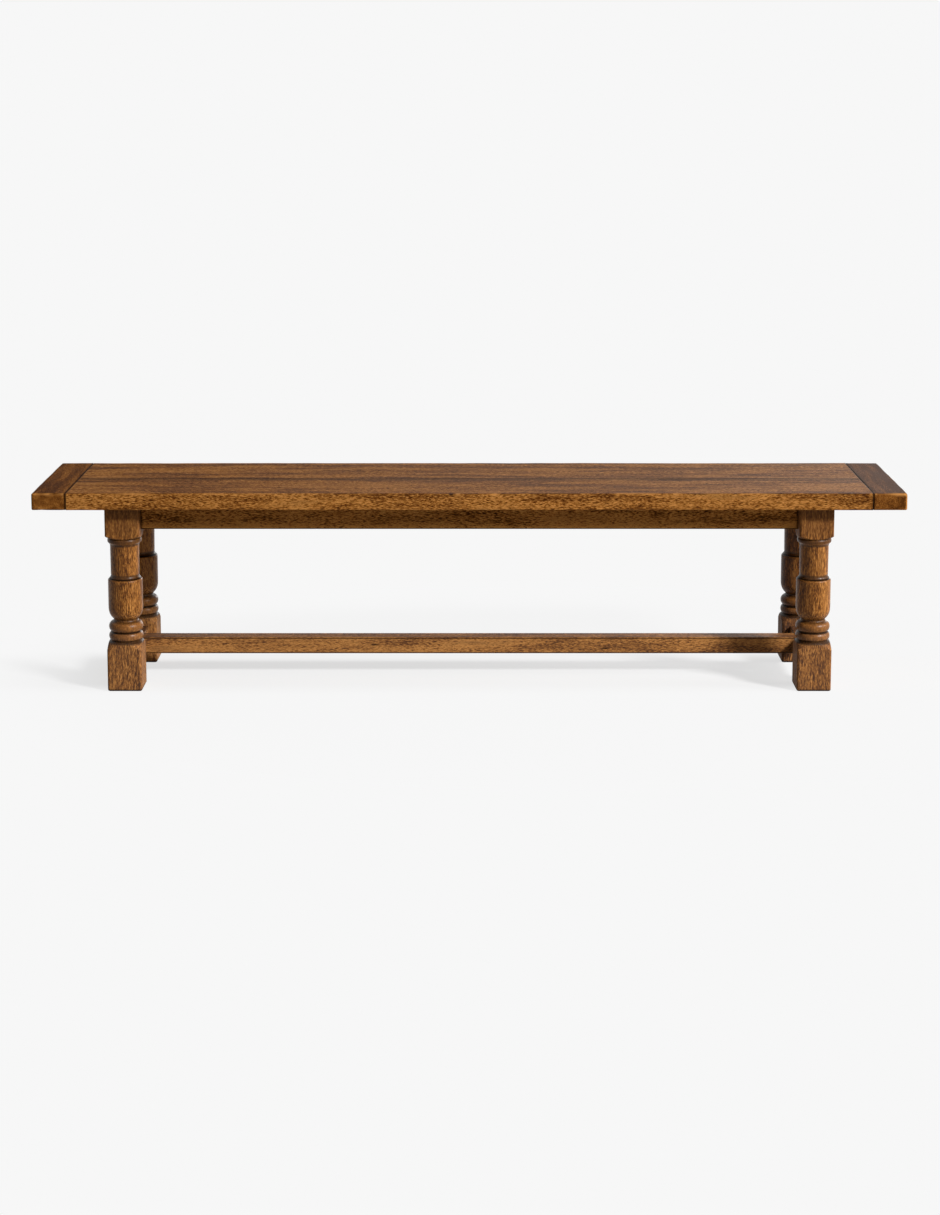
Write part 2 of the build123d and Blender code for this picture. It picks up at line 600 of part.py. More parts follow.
with BuildPart() as long_stretcher:
    with BuildSketch(Plane.YZ):
        with Locations((0, STRETCHER_MIDDLE)):
            RectangleRounded(STRETCHER_WIDTH, STRETCHER_HEIGHT, STRETCHER_EASE)
    extrude(amount=STRETCHER_INNER_X, both=True)
    long_tenon_x = STRETCHER_INNER_X + STRETCHER_TENON_LENGTH / 2
    with Locations((-long_tenon_x, 0, STRETCHER_MIDDLE), (long_tenon_x, 0, STRETCHER_MIDDLE)):
        Box(STRETCHER_TENON_LENGTH, STRETCHER_TENON_THICKNESS, STRETCHER_TENON_HEIGHT)
save(long_stretcher, "long_stretcher")


# Corner blocks: across each apron corner, drawn to the leg by a hanger bolt
def make_corner_block(label, side, face):
    outer_sum = LEG_X + LEG_Y - BLOCK_OUTER * sqrt(2)
    inner_sum = LEG_X + LEG_Y - BLOCK_INNER * sqrt(2)
    outline = [
        (outer_sum - APRON_INNER_Y, APRON_INNER_Y),
        (APRON_INNER_X, outer_sum - APRON_INNER_X),
        (APRON_INNER_X, inner_sum - APRON_INNER_X),
        (inner_sum - APRON_INNER_Y, APRON_INNER_Y),
    ]
    with BuildPart() as block:
        with BuildSketch(Plane.XY.offset(BLOCK_TOP - BLOCK_HEIGHT)):
            with BuildLine():
                Polyline(*[(side * x, face * y) for x, y in outline], close=True)
            make_face()
        extrude(amount=BLOCK_HEIGHT)
        with Locations(diagonal_plane(side, face, BLOCK_INNER)):
            Hole(BOLT_DIAMETER / 2 + BOLT_CLEARANCE, depth=BLOCK_THICKNESS)
        own_screws = [p for p in BLOCK_SCREWS if p.origin.X * side > 0 and p.origin.Y * face > 0]
        with Locations(*own_screws):
            Cylinder(
                WOOD_SCREW_HEAD_DIAMETER / 2 + COUNTERBORE_CLEARANCE,
                BLOCK_THICKNESS * 2,
                align=BASE,
                mode=Mode.SUBTRACT,
            )
            Cylinder(
                WOOD_SCREW_DIAMETER / 2 + HOLE_CLEARANCE,
                WOOD_SCREW_LENGTH,
                align=HANG,
                mode=Mode.SUBTRACT,
            )
    save(block, label)


for corner, (side, face) in CORNERS.items():
    make_corner_block(f"{corner}_corner_block", side, face)

# Hanger bolts, their washers and nuts
BOLT_LENGTH = NUT_OUTER + BOLT_PAST_NUT - LEG_FLAT + BOLT_IN_LEG

with BuildPart() as bolts:
    bolt_tips = [
        diagonal_plane(side, face, LEG_FLAT - BOLT_IN_LEG) for side, face in CORNERS.values()
    ]
    with Locations(*bolt_tips):
        Cone(SCREW_TIP_RADIUS, BOLT_DIAMETER / 2, BOLT_POINT, align=BASE)
    with Locations(*[plane.offset(BOLT_POINT) for plane in bolt_tips]):
        Cylinder(BOLT_DIAMETER / 2, BOLT_LENGTH - BOLT_POINT, align=BASE)
save(bolts, "hanger_bolts")

with BuildPart() as washers:
    washer_seats = [diagonal_plane(side, face, BLOCK_INNER) for side, face in CORNERS.values()]
    with BuildSketch(*washer_seats):
        Circle(WASHER_DIAMETER / 2)
        Circle(BOLT_DIAMETER / 2 + BOLT_CLEARANCE, mode=Mode.SUBTRACT)
    extrude(amount=WASHER_THICKNESS)
save(washers, "hanger_washers")

with BuildPart() as nuts:
    with BuildSketch(*[plane.offset(WASHER_THICKNESS) for plane in washer_seats]):
        RegularPolygon(NUT_WIDTH / 2, 6, major_radius=False)
        Circle(BOLT_DIAMETER / 2 + HOLE_CLEARANCE, mode=Mode.SUBTRACT)
    extrude(amount=NUT_HEIGHT)
save(nuts, "hanger_nuts")


# Screws with a flat-bottomed head: each plane lies on the head's seat, Z towards the head
def make_pan_screws(label, planes, diameter, length, head_diameter, head_height):
    with BuildPart() as screws:
        with Locations(*planes):
            Cylinder(head_diameter / 2, head_height, align=BASE)
            Cylinder(diameter / 2, length - SCREW_POINT, align=HANG)
        with Locations(*[plane.offset(-length) for plane in planes]):
            Cone(SCREW_TIP_RADIUS, diameter / 2, SCREW_POINT, align=BASE)
    save(screws, label)


make_pan_screws(
    "corner_block_screws",
    BLOCK_SCREWS,
    WOOD_SCREW_DIAMETER,
    WOOD_SCREW_LENGTH,
    WOOD_SCREW_HEAD_DIAMETER,
    WOOD_SCREW_HEAD_HEIGHT,
)
make_pan_screws(
    "cross_rail_screws",
    RAIL_SCREWS,
    RAIL_SCREW_DIAMETER,
    RAIL_SCREW_LENGTH,
    RAIL_SCREW_HEAD_DIAMETER,
    RAIL_SCREW_HEAD_HEIGHT,
)

# Seat fasteners: figure-eight plates, one lobe let into the apron, the other under the seat
with BuildPart() as fasteners:
    with BuildSketch(*FASTENERS):
        Circle(FASTENER_DIAMETER / 2)
        with Locations((FASTENER_PITCH, 0)):
            Circle(FASTENER_DIAMETER / 2)
    extrude(amount=-FASTENER_THICKNESS)
    with Locations(*FASTENERS, *SEAT_SCREWS):
        CounterSinkHole(
            radius=FASTENER_SCREW_DIAMETER / 2 + HOLE_CLEARANCE,
            counter_sink_radius=FASTENER_SCREW_HEAD_DIAMETER / 2 + HOLE_CLEARANCE,
            depth=FASTENER_THICKNESS,
            counter_sink_angle=COUNTERSINK_ANGLE,
        )
save(fasteners, "seat_fasteners")


# Countersunk screws: each plane lies on the head's top
def make_countersunk_screws(label, planes):
    head_height = (FASTENER_SCREW_HEAD_DIAMETER - FASTENER_SCREW_DIAMETER) / 2
    shank_length = FASTENER_SCREW_LENGTH - head_height - SCREW_POINT
    with BuildPart() as screws:
        with Locations(*planes):
            Cone(
                FASTENER_SCREW_DIAMETER / 2,
                FASTENER_SCREW_HEAD_DIAMETER / 2,
                head_height,
                align=HANG,
            )
        with Locations(*[plane.offset(-head_height) for plane in planes]):
            Cylinder(FASTENER_SCREW_DIAMETER / 2, shank_length, align=HANG)
        with Locations(*[plane.offset(-FASTENER_SCREW_LENGTH) for plane in planes]):
            Cone(SCREW_TIP_RADIUS, FASTENER_SCREW_DIAMETER / 2, SCREW_POINT, align=BASE)
    save(screws, label)


make_countersunk_screws("fastener_apron_screws", FASTENERS)
make_countersunk_screws("fastener_seat_screws", SEAT_SCREWS)
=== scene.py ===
import math
import random

import bmesh
import bpy
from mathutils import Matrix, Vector, noise


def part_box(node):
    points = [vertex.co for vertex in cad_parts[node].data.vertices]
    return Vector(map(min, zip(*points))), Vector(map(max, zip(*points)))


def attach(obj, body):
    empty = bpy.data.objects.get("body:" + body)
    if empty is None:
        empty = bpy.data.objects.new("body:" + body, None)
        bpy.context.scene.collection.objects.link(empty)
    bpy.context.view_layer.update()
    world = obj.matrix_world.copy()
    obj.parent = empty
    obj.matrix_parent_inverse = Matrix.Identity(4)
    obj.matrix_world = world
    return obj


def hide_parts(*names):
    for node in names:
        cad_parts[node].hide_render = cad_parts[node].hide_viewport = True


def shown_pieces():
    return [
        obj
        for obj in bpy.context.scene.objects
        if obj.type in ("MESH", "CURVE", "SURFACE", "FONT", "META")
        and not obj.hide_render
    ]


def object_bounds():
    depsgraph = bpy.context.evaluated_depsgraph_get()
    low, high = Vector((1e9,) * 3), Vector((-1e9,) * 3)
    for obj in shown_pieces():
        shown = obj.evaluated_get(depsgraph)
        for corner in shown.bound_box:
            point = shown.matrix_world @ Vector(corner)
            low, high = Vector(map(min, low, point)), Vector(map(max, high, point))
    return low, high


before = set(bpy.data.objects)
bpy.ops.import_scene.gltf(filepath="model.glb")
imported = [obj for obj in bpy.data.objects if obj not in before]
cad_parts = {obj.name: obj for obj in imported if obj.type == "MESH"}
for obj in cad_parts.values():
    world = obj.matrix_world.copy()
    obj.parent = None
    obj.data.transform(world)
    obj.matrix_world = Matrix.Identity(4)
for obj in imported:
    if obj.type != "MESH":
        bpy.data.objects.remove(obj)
CAD_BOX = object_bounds()
MM = 0.001

# Camera, fitted to the edges of the bench in the photograph
CAMERA_PLACE = (0.0014, -5.030, 1.393)
CAMERA_TILT = math.radians(90.0 - 7.534)
CAMERA_LENS = 66.28
CAMERA_SENSOR = 36.0
CAMERA_SHIFT_Y = -0.2037

# Lamps: level is the light that a lamp sheds on a surface turned to it
WARM = (1.0, 0.78, 0.52)
LAMPS = {
    "key": {"direction": (1.36, -1.0, 1.06), "distance": 16.0, "size": 2.6, "level": 1.545},
    "side": {"direction": (1.0, -0.10, 0.40), "distance": 14.0, "size": 4.0, "level": 0.45},
    "fill": {"direction": (0.12, -1.0, 0.12), "distance": 8.0, "size": 2.5, "level": 0.05, "colour": WARM},
    "back": {"direction": (0.35, 1.0, 0.15), "distance": 14.0, "size": 4.0, "level": 0.165},
}
LAMP_TARGET = Vector((0.0, 0.0, 0.25))

# World and floor
BACKGROUND = (0.930, 0.930, 0.930, 1.0)
SKY_COLOUR = (*WARM, 1.0)
SKY_STRENGTH = 0.012
FLOOR_COLOUR = (0.40, 0.40, 0.40, 1.0)
FLOOR_HALF = 60.0
# The light on the open floor, and the share of it that a shadow takes away under the bench.
# FAR_SHADOW is what is left of that share in front of the bench and behind it
FLOOR_LIT = 1.18
FLOOR_SHADOW = 0.21
FAR_SHADOW = 0.15
# Depths over which the shadow weakens, and distances from its middle over which it ends
SHADOW_DEPTH = (0.09, 0.20)
SHADOW_REACH = (0.55, 0.85)
SHADOW_MIDDLE = (0.20, 0.0, 0.0)
SHADOW_SQUASH = (0.6, 1.0, 0.0)

# Places read from the frame
SEAT_LOW, SEAT_HIGH = CAD_BOX[0].copy(), CAD_BOX[1].copy()
SEAT_LOW.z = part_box("front_seat_plank")[0].z
SEAM_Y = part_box("front_seat_plank")[1].y
JOINT_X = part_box("right_breadboard_end")[0].x


# Shader nodes

# Sockets of a Mix node for its factor and two colours, and for the colour that comes out
MIX_FACTOR, MIX_FIRST, MIX_SECOND = 0, 6, 7
MIX_RESULT = 2


def feed(tree, socket, value):
    """Gives a socket its value, or a link from another socket."""
    if isinstance(value, bpy.types.NodeSocket):
        tree.links.new(value, socket)
    else:
        socket.default_value = value


def node(tree, kind, inputs=None, **settings):
    """Adds a shader node; inputs are values, or sockets to link from."""
    made = tree.nodes.new("ShaderNode" + kind)
    for key, value in settings.items():
        setattr(made, key, value)
    for key, value in (inputs or {}).items():
        feed(tree, made.inputs[key], value)
    return made


def calc(tree, operation, first, second=0.0, clamped=False):
    """A Math node's result."""
    made = node(tree, "Math", {0: first, 1: second}, operation=operation, use_clamp=clamped)
    return made.outputs[0]


def vector_calc(tree, operation, *vectors):
    """A Vector Math node's result."""
    return node(tree, "VectorMath", dict(enumerate(vectors)), operation=operation).outputs[0]


def length(tree, vector):
    """The length of a vector."""
    return node(tree, "VectorMath", {0: vector}, operation="LENGTH").outputs["Value"]


def weighted(tree, *parts):
    """The sum of (value, weight) parts."""
    total = 0.0
    for value, weight in parts:
        made = node(tree, "Math", {0: value, 1: weight, 2: total}, operation="MULTIPLY_ADD")
        total = made.outputs[0]
    return total


def ramp(tree, value, low, high, out_low=0.0, out_high=1.0):
    """A smooth step of value from low to high."""
    inputs = {"Value": value, "From Min": low, "From Max": high, "To Min": out_low, "To Max": out_high}
    return node(tree, "MapRange", inputs, interpolation_type="SMOOTHSTEP").outputs["Result"]


def mix(tree, factor, first, second):
    """Two colours mixed by a factor."""
    inputs = {MIX_FACTOR: factor, MIX_FIRST: first, MIX_SECOND: second}
    return node(tree, "Mix", inputs, data_type="RGBA").outputs[MIX_RESULT]


def colour_ramp(tree, value, stops):
    """A colour for each value, by (place, colour) stops."""
    made = node(tree, "ValToRGB", {"Fac": value})
    elements = made.color_ramp.elements
    while len(elements) < len(stops):
        elements.new(0.5)
    for element, (place, colour) in zip(elements, stops):
        element.position = place
        element.color = (*colour, 1.0)
    return made.outputs["Color"]


def stretched_noise(tree, place, scale, detail=2.0, rough=0.55, output="Fac"):
    """Noise with its own scale along each axis of place."""
    scaled = vector_calc(tree, "MULTIPLY", place, scale)
    inputs = {"Vector": scaled, "Scale": 1.0, "Detail": detail, "Roughness": rough}
    return node(tree, "TexNoise", inputs).outputs[output]


def coordinate(tree, vector, axis):
    """One coordinate of a vector."""
    return node(tree, "SeparateXYZ", {0: vector}).outputs[axis]


def surface_place(tree, axis):
    """One coordinate of the point on the surface."""
    return coordinate(tree, node(tree, "NewGeometry").outputs["Position"], axis)


def new_material(name):
    """A new material with its node tree."""
    material = bpy.data.materials.new(name)
    material.use_nodes = True
    return material, material.node_tree


# Wood: colours and noise

GRAIN_TURN = {
    "X": (0.0, 0.0, 0.0),
    "Y": (0.0, 0.0, math.radians(-90.0)),
    "Z": (0.0, math.radians(90.0), 0.0),
}
WOOD_STOPS = (
    (0.36, (0.045, 0.0135, 0.0022)),
    (0.45, (0.135, 0.046, 0.0080)),
    (0.53, (0.255, 0.098, 0.0190)),
    (0.64, (0.440, 0.195, 0.0480)),
)
PORE_COLOUR = (0.028, 0.0085, 0.0018, 1.0)
STREAK_COLOUR = (0.055, 0.021, 0.0065, 1.0)
# Dark glaze, which on the frame also paints shade in creases and bands
GLAZE_AND_SHADE_COLOUR = (0.010, 0.0038, 0.0013, 1.0)
WORN_COLOUR = (0.420, 0.190, 0.052, 1.0)
SMOOTH_COLOUR = (0.160, 0.061, 0.0135, 1.0)
# Pale grey of the painted sheen on the seat and of the painted light near the floor
PALE_PAINTED_LIGHT_COLOUR = (0.360, 0.310, 0.280, 1.0)

# Noise of the wood, with its scale along and across the grain
DRIFT_NOISE = {"scale": (2.2, 7.0, 7.0), "output": "Color"}
STREAK_NOISE = {"scale": (4.0, 36.0, 36.0), "detail": 4.0, "rough": 0.65}
MOTTLE_NOISE = {"scale": (14.0, 50.0, 50.0)}
PORE_NOISE = {"scale": (190.0, 800.0, 800.0), "detail": 1.0}
BOARD_FLECK = {"scale": (120.0, 800.0, 800.0), "detail": 1.5, "rough": 0.6}
BOARD_FIBRE = {"scale": (40.0, 1100.0, 1100.0)}
LEG_FLECK = dict(BOARD_FLECK, scale=(115.0, 700.0, 700.0))
LEG_FIBRE = {"scale": (30.0, 430.0, 430.0)}
# How far apart the boards' stretches of timber lie, and how far the grain drifts aside
TIMBER_SPREAD = 40.0
DRIFT = (0.0, 0.060, 0.060)
# Parts of the noise that show as pores, as dark streaks and as polished or dull flecks
PORE_RANGE = (0.58, 0.70)
PORE_STRENGTH = 0.6
STREAK_RANGE = (0.56, 0.72)
FLECK_RANGE = (0.35, 0.65)
BUMP_FIBRE = 0.4
BUMP_FLECK = 0.5
BUMP_DISTANCE = 0.3 * MM

# Finishes. tone lightens the wood all over, and top lightens its upper faces, where a negative value is
# painted shade.
# figure weighs streak, mottle, fleck and fibre. streaks is the strength of the dark streaks, square the
# extra roughness of the legs' blocks, and the aprons' finish adds painted light along their lower edge
SEAT_FINISH = {
    "tone": 0.015, "top": -0.062, "figure": (0.66, 0.05, 0.90, 0.28),
    "fleck": BOARD_FLECK, "fibre": BOARD_FIBRE, "streaks": 0.45,
    "roughness": (0.55, 0.70), "square": 0.0, "shine": 0.02, "bump": 0.25,
}
BREADBOARD_FINISH = dict(SEAT_FINISH, tone=-0.05, top=-0.072, figure=(0.50, 0.05, 0.45, 0.15), shine=0.01)
LEG_FINISH = {
    "tone": -0.005, "top": 0.0, "figure": (0.28, 0.06, 0.62, 0.50),
    "fleck": LEG_FLECK, "fibre": LEG_FIBRE, "streaks": 0.40,
    "roughness": (0.34, 0.44), "square": 0.28, "shine": 0.14, "bump": 0.08,
}
RAIL_FINISH = {
    "tone": 0.0, "top": -0.135, "figure": (0.62, 0.12, 0.85, 0.28),
    "fleck": BOARD_FLECK, "fibre": BOARD_FIBRE, "streaks": 0.45,
    "roughness": (0.50, 0.65), "square": 0.0, "shine": 0.09, "bump": 0.20,
}
APRON_FINISH = dict(RAIL_FINISH, figure=(0.70, 0.20, 1.25, 0.32), shine=0.005, painted_lit_edge=0.165)
INNER_FINISH = dict(RAIL_FINISH, tone=0.05, streaks=0.2)
# Lighter or darker wood by node: painted light on the rear left leg and the front apron, painted shade on
# the rear right leg, and their own tone on the other nodes
NODE_TONE_AND_LIGHT = {
    "left_breadboard_end": 0.04,
    "right_breadboard_end": -0.02,
    "front_right_leg": -0.01,
    "rear_left_leg": 0.05,
    "rear_right_leg": -0.07,
    "front_apron": 0.04,
    "long_stretcher": 0.065,
}

# How far up a face has to look, from and to, to count as an upper face
UPPER_FACE = (0.7, 0.95)
# Heights over which the painted light along the aprons' lower edge, and the legs' lower and upper blocks,
# end
APRON_PAINTED_LIGHT = (0.370, 0.384)
FOOT_SQUARE = (0.104, 0.110)
TOP_SQUARE = (0.345, 0.352)

# Bands round the legs and rails: height, half width and strength.
# The stain is even in the smooth bands. The others darken the wood: glaze in the hollows of the turnings,
# darker lines along the feet's bottom edge and along the rails' edges, and painted shade under the seat at
# the top of the legs' upper blocks
SMOOTH_BANDS = (
    (0.1350, 0.0300, 0.65),
    (0.2560, 0.0100, 0.60),
    (0.3380, 0.0090, 0.60),
    (0.3950, 0.0600, 0.40),
)
LEG_BANDS = (
    (0.0000, 0.0070, 0.90),
    (0.1105, 0.0070, 0.85),
    (0.1315, 0.0040, 0.92),
    (0.1570, 0.0070, 0.65),
    (0.2532, 0.0030, 0.96),
    (0.2575, 0.0070, 0.70),
    (0.3300, 0.0040, 0.60),
    (0.3405, 0.0065, 0.60),
    (0.3900, 0.0600, 0.12),
    # Painted shade under the seat, at the top of the upper blocks
    (0.4200, 0.0260, 0.28),
)
APRON_BANDS = ((0.3664, 0.0016, 0.85),)
STRETCHER_BANDS = ((0.0855, 0.0022, 0.75), (0.0518, 0.0022, 0.75))
BAND_CORE = 0.3
# The rings and beads, which are a little more polished than the rest of the legs
RING_COUNT = 3
RING_BANDS = [(height, half, 1.0) for height, half, _ in SMOOTH_BANDS[:RING_COUNT]]
POLISH = 0.05
# Knots: x, z, half length and half height
LONG_STRETCHER_KNOTS = ((-0.218, 0.0706, 0.014, 0.0028), (0.311, 0.0620, 0.012, 0.0032))
KNOT_CORE = 0.35
KNOT_STRENGTH = 0.85

# Creases that hold glaze and painted shade: their widest reach and the strength of the darkening
LEG_CREASES = (18.0 * MM, 0.65)
RAIL_CREASES = (9.0 * MM, 0.94)
CREASE_SHADE = (0.93, 0.50)
CREASE_SAMPLES = 8
# Painted sheen along the seat's upper faces, stronger to the right, and pale painted light near the floor,
# stronger lower down
TOP_SHEEN_SPAN = (-0.80, 0.20)
TOP_SHEEN_AMOUNT = 0.068
LOW_LIGHT_SPAN = (0.10, 0.16)
LOW_LIGHT_AMOUNT = 0.038


# Wood: shaders

def grain_place(tree, grain, seed):
    """Object coordinates with the grain along x, moved to the board's own stretch of timber."""
    chance = random.Random(seed)
    offset = [chance.uniform(-TIMBER_SPREAD, TIMBER_SPREAD) for _ in range(3)]
    place = node(tree, "TexCoord").outputs["Object"]
    inputs = {"Vector": place, "Rotation": GRAIN_TURN[grain], "Location": offset}
    turned = node(tree, "Mapping", inputs).outputs[0]
    drift = stretched_noise(tree, turned, **DRIFT_NOISE)
    return vector_calc(tree, "MULTIPLY_ADD", drift, DRIFT, turned)


def on_top(tree, amount):
    """The amount on upper faces, and 0 elsewhere."""
    slope = coordinate(tree, node(tree, "NewGeometry").outputs["True Normal"], "Z")
    return ramp(tree, slope, *UPPER_FACE, 0.0, amount)


def in_blocks(tree):
    """1 on the square blocks of the legs, and 0 on what is turned."""
    z = surface_place(tree, "Z")
    return calc(tree, "ADD", ramp(tree, z, *FOOT_SQUARE, 1.0, 0.0), ramp(tree, z, *TOP_SQUARE))


def in_bands(tree, bands):
    """The strongest of the bands of (height, half width, strength) at each point of the surface."""
    z = surface_place(tree, "Z")
    strongest = 0.0
    for height, half, strength in bands:
        away = calc(tree, "ABSOLUTE", calc(tree, "SUBTRACT", z, height))
        band = ramp(tree, away, BAND_CORE * half, half, strength, 0.0)
        strongest = calc(tree, "MAXIMUM", strongest, band)
    return strongest


def in_knots(tree, knots):
    """The knots of (x, z, half length, half height) seen on a board's long faces."""
    strongest = 0.0
    for x, z, half_length, half_height in knots:
        away_x = calc(tree, "DIVIDE", calc(tree, "SUBTRACT", surface_place(tree, "X"), x), half_length)
        away_z = calc(tree, "DIVIDE", calc(tree, "SUBTRACT", surface_place(tree, "Z"), z), half_height)
        away = length(tree, node(tree, "CombineXYZ", {0: away_x, 1: away_z}).outputs[0])
        knot = ramp(tree, away, KNOT_CORE, 1.0, KNOT_STRENGTH, 0.0)
        strongest = calc(tree, "MAXIMUM", strongest, knot)
    return strongest


def wood(name, grain, seed, finish, masks=None):
    """Stained hardwood: streaks, mottle, flecks, fibres and pores, under the colours of the masks."""
    material, tree = new_material(name)
    place = grain_place(tree, grain, seed)
    streak = stretched_noise(tree, place, **STREAK_NOISE)
    mottle = stretched_noise(tree, place, **MOTTLE_NOISE)
    fleck = stretched_noise(tree, place, **finish["fleck"])
    fibre = stretched_noise(tree, place, **finish["fibre"])
    pore = ramp(tree, stretched_noise(tree, place, **PORE_NOISE), *PORE_RANGE)

    weights = finish["figure"]
    figure = weighted(tree, *zip((streak, mottle, fleck, fibre), weights))
    figure = calc(tree, "ADD", figure, finish["tone"] + (1.0 - sum(weights)) / 2)
    # Painted shade on the upper faces
    if finish["top"]:
        figure = calc(tree, "ADD", figure, on_top(tree, finish["top"]))
    # Painted light along the aprons' lower edge
    if "painted_lit_edge" in finish:
        painted_lit_edge = ramp(tree, surface_place(tree, "Z"), *APRON_PAINTED_LIGHT, finish["painted_lit_edge"], 0.0)
        figure = calc(tree, "ADD", figure, painted_lit_edge)
    colour = colour_ramp(tree, figure, WOOD_STOPS)
    colour = mix(tree, calc(tree, "MULTIPLY", pore, PORE_STRENGTH), colour, PORE_COLOUR)
    dark = ramp(tree, streak, *STREAK_RANGE, 0.0, finish["streaks"])
    colour = mix(tree, dark, colour, STREAK_COLOUR)
    for mask, tint in masks(tree) if masks else ():
        colour = mix(tree, mask, colour, tint)

    low, high = finish["roughness"]
    rough = ramp(tree, fleck, *FLECK_RANGE, high, low)
    if finish["square"]:
        rings = in_bands(tree, RING_BANDS)
        rough = weighted(tree, (in_blocks(tree), finish["square"]), (rings, -POLISH), (rough, 1.0))
    height = calc(tree, "SUBTRACT", weighted(tree, (fibre, BUMP_FIBRE), (fleck, BUMP_FLECK)), pore)
    bump = node(tree, "Bump", {"Height": height, "Strength": finish["bump"], "Distance": BUMP_DISTANCE})

    surface = tree.nodes["Principled BSDF"].inputs
    feed(tree, surface["Base Color"], colour)
    feed(tree, surface["Roughness"], rough)
    feed(tree, surface["Normal"], bump.outputs["Normal"])
    feed(tree, surface["Specular IOR Level"], finish["shine"])
    return material


def toned(node_name, finish):
    """A finish with the node's own lightening or darkening: painted light and shade on some nodes, tone on
    the others.
    """
    return dict(finish, tone=finish["tone"] + NODE_TONE_AND_LIGHT.get(node_name, 0.0))


def board_masks(tree):
    """Rubbing and glazing as the seat boards' meshes carry them, and a painted sheen on the upper faces,
    stronger to the right.
    """
    wear = node(tree, "Attribute", attribute_name="wear").outputs["Fac"]
    glaze_and_shade = node(tree, "Attribute", attribute_name="glaze_and_shade").outputs["Fac"]
    # A painted sheen on the seat's upper faces, stronger to the right
    haze = ramp(tree, surface_place(tree, "X"), *TOP_SHEEN_SPAN, 0.0, TOP_SHEEN_AMOUNT)
    pale_light = calc(tree, "MULTIPLY", haze, on_top(tree, 1.0))
    return (wear, WORN_COLOUR), (glaze_and_shade, GLAZE_AND_SHADE_COLOUR), (pale_light, PALE_PAINTED_LIGHT_COLOUR)


def frame_masks(creases, only_own, darkened_bands, smooth=(), knots=()):
    """Even stain in the smooth bands, pale painted light near the floor, and darkening: glazing in the
    knots, and glazing with painted shade in the darkened bands and the creases.

    With only_own, just the piece's own creases count, and none that it makes with other pieces.
    """
    reach, strength = creases

    def masks(tree):
        settings = {"samples": CREASE_SAMPLES, "only_local": only_own}
        # Glaze and painted shade in the creases
        shade = node(tree, "AmbientOcclusion", {"Distance": reach}, **settings).outputs["AO"]
        glaze_and_shade = ramp(tree, shade, *CREASE_SHADE, 0.0, strength)
        # Glaze with painted shade in the darkened bands, and glaze in the knots
        for other in (in_bands(tree, darkened_bands), in_knots(tree, knots)):
            glaze_and_shade = calc(tree, "MAXIMUM", glaze_and_shade, other)
        # Pale painted light near the floor, stronger lower down
        pale_light = ramp(tree, surface_place(tree, "Z"), *LOW_LIGHT_SPAN, LOW_LIGHT_AMOUNT, 0.0)
        layers = [(pale_light, PALE_PAINTED_LIGHT_COLOUR), (glaze_and_shade, GLAZE_AND_SHADE_COLOUR)]
        if smooth:
            layers.insert(0, (in_bands(tree, smooth), SMOOTH_COLOUR))
        return layers

    return masks


# Zinc

ZINC_NOISE = {"scale": (260.0, 260.0, 260.0), "detail": 3.0}
ZINC_STOPS = ((0.35, (0.42, 0.43, 0.44)), (0.65, (0.60, 0.60, 0.59)))
ZINC_RANGE = (0.3, 0.7)
ZINC_ROUGHNESS = (0.28, 0.42)


def zinc(name):
    """Zinc plated steel with a fine cloudy finish."""
    material, tree = new_material(name)
    cloud = stretched_noise(tree, node(tree, "TexCoord").outputs["Object"], **ZINC_NOISE)
    surface = tree.nodes["Principled BSDF"].inputs
    feed(tree, surface["Base Color"], colour_ramp(tree, cloud, ZINC_STOPS))
    feed(tree, surface["Roughness"], ramp(tree, cloud, *ZINC_RANGE, *ZINC_ROUGHNESS))
    feed(tree, surface["Metallic"], 1.0)
    return material


# Seat boards. Values by grain are for the planks ("X") and the breadboard ends ("Y"). Pairs by axis are
# for the joints at the breadboard ends (0) and the seam between the planks (1)

EDGE_LINES = [0.0, 0.5 * MM, 1.1 * MM, 1.8 * MM, 2.6 * MM, 3.6 * MM, 5.2 * MM, 8.0 * MM]
STEP_ALONG = 5.0 * MM
STEP_ACROSS = 14.0 * MM
BOARD_STEPS = {
    "X": (STEP_ALONG, STEP_ACROSS, STEP_ACROSS),
    "Y": (STEP_ACROSS, STEP_ALONG, STEP_ACROSS),
}
BOARD_FINISH = {"X": SEAT_FINISH, "Y": BREADBOARD_FINISH}

# Round arrises, and how much their radius varies
ARRIS = {"X": 3.0 * MM, "Y": 4.2 * MM}
UNDER_ARRIS = {"X": 2.2 * MM, "Y": 3.0 * MM}
ARRIS_SPREAD = {"X": 0.4, "Y": 0.15}
CORNER = 5.0 * MM
# Joints: the gap, the round of their edges, and how many such rounds away an arris has its own radius
JOINT_GAP = 1.0 * MM
JOINT_EASE = 1.2 * MM
SEAM_EASE = 2.0 * MM
JOINT_BLEND = 3.0
# Glaze in the joints, the weaker shade beside them, and how far both fade in places
GLAZE_REACH = (2.6 * MM, 4.0 * MM)
GLAZE_GAIN = 1.3
SHADE_REACH = (4.0 * MM, 18.0 * MM)
SHADE = 0.85
JOINT_FADE = (0.10, 0.28)
# Patches of glaze and of rubbing along the arrises: steepness, threshold and limit
GLAZE_PATCH = (2.5, 0.58, 0.9)
WEAR_PATCH = (2.0, 0.55, 0.8)
RUB_DEPTH = 0.8 * MM
SCRAPE = 0.6 * MM

# Dents along the front arris, and two that the photograph shows
DING_COUNT = 7
DING_SIZE = (4.0 * MM, 9.0 * MM)
DING_DEPTH = (0.5 * MM, 1.4 * MM)
DING_WEAR = 0.7
DARK_DING_X = -0.040
DARK_DING = {"size": 8.0 * MM, "depth": 2.2 * MM, "stain": 1.0}
CORNER_DING = {"size": 9.0 * MM, "depth": 2.5 * MM}

